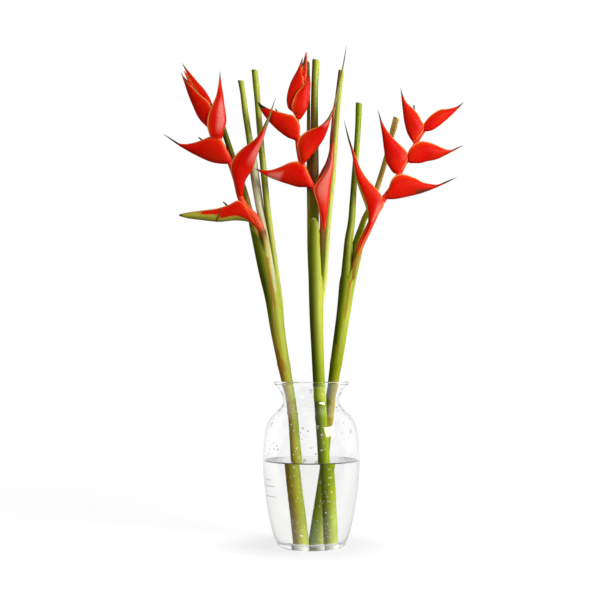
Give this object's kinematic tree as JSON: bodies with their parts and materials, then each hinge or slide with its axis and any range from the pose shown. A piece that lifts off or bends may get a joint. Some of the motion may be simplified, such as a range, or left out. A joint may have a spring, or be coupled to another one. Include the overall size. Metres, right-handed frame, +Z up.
{
  "type": "cut heliconia flowers in a vase",
  "caption": "Cut big bird heliconia shoots with red boat-shaped bracts and trimmed leaf stalks, standing in a shouldered clear glass vase of water.",
  "frame": {"origin": "centre of the vase's flat foot, on the surface it stands on", "axes": "+Z up along the vase's axis, the blooms spread along X, the front of the arrangement faces -Y"},
  "size_m": [0.4473, 0.144, 0.735],
  "materials": {
    "clear_glass": "gloss",
    "water": "gloss",
    "stem_green": "satin",
    "leaf_stalk_green": "satin",
    "leaf_stalk_cream": "satin",
    "leaf_stalk_olive": "satin",
    "flower_stalk_red": "satin",
    "bract_red": "satin",
    "floret_green": "satin"
  },
  "bodies": {
    "root": {"glass_vase": "clear_glass", "water": "water", "pseudostem_left": "stem_green", "leaf_stalk_left_1": "leaf_stalk_olive", "leaf_stalk_left_2": "leaf_stalk_cream", "leaf_stalk_left_3": "leaf_stalk_green", "flower_stalk_left": "flower_stalk_red", "bract_left_1": "bract_red", "bract_left_2": "bract_red", "bract_left_3": "bract_red", "bract_left_4": "bract_red", "bract_left_5": "bract_red", "bract_left_6": "bract_red", "floret_left_1": "floret_green", "floret_left_2": "floret_green", "pseudostem_middle": "stem_green", "leaf_stalk_middle_1": "leaf_stalk_green", "leaf_stalk_middle_2": "leaf_stalk_olive", "leaf_stalk_middle_3": "leaf_stalk_green", "flower_stalk_middle": "flower_stalk_red", "bract_middle_1": "bract_red", "bract_middle_2": "bract_red", "bract_middle_3": "bract_red", "bract_middle_4": "bract_red", "bract_middle_5": "bract_red", "bract_middle_6": "bract_red", "floret_middle_1": "floret_green", "pseudostem_right": "stem_green", "leaf_stalk_right_1": "leaf_stalk_green", "leaf_stalk_right_2": "leaf_stalk_olive", "flower_stalk_right": "flower_stalk_red", "bract_right_1": "bract_red", "bract_right_2": "bract_red", "bract_right_3": "bract_red", "bract_right_4": "bract_red", "bract_right_5": "bract_red", "bract_right_6": "bract_red", "floret_right_1": "floret_green"}
  },
  "joints": []
}
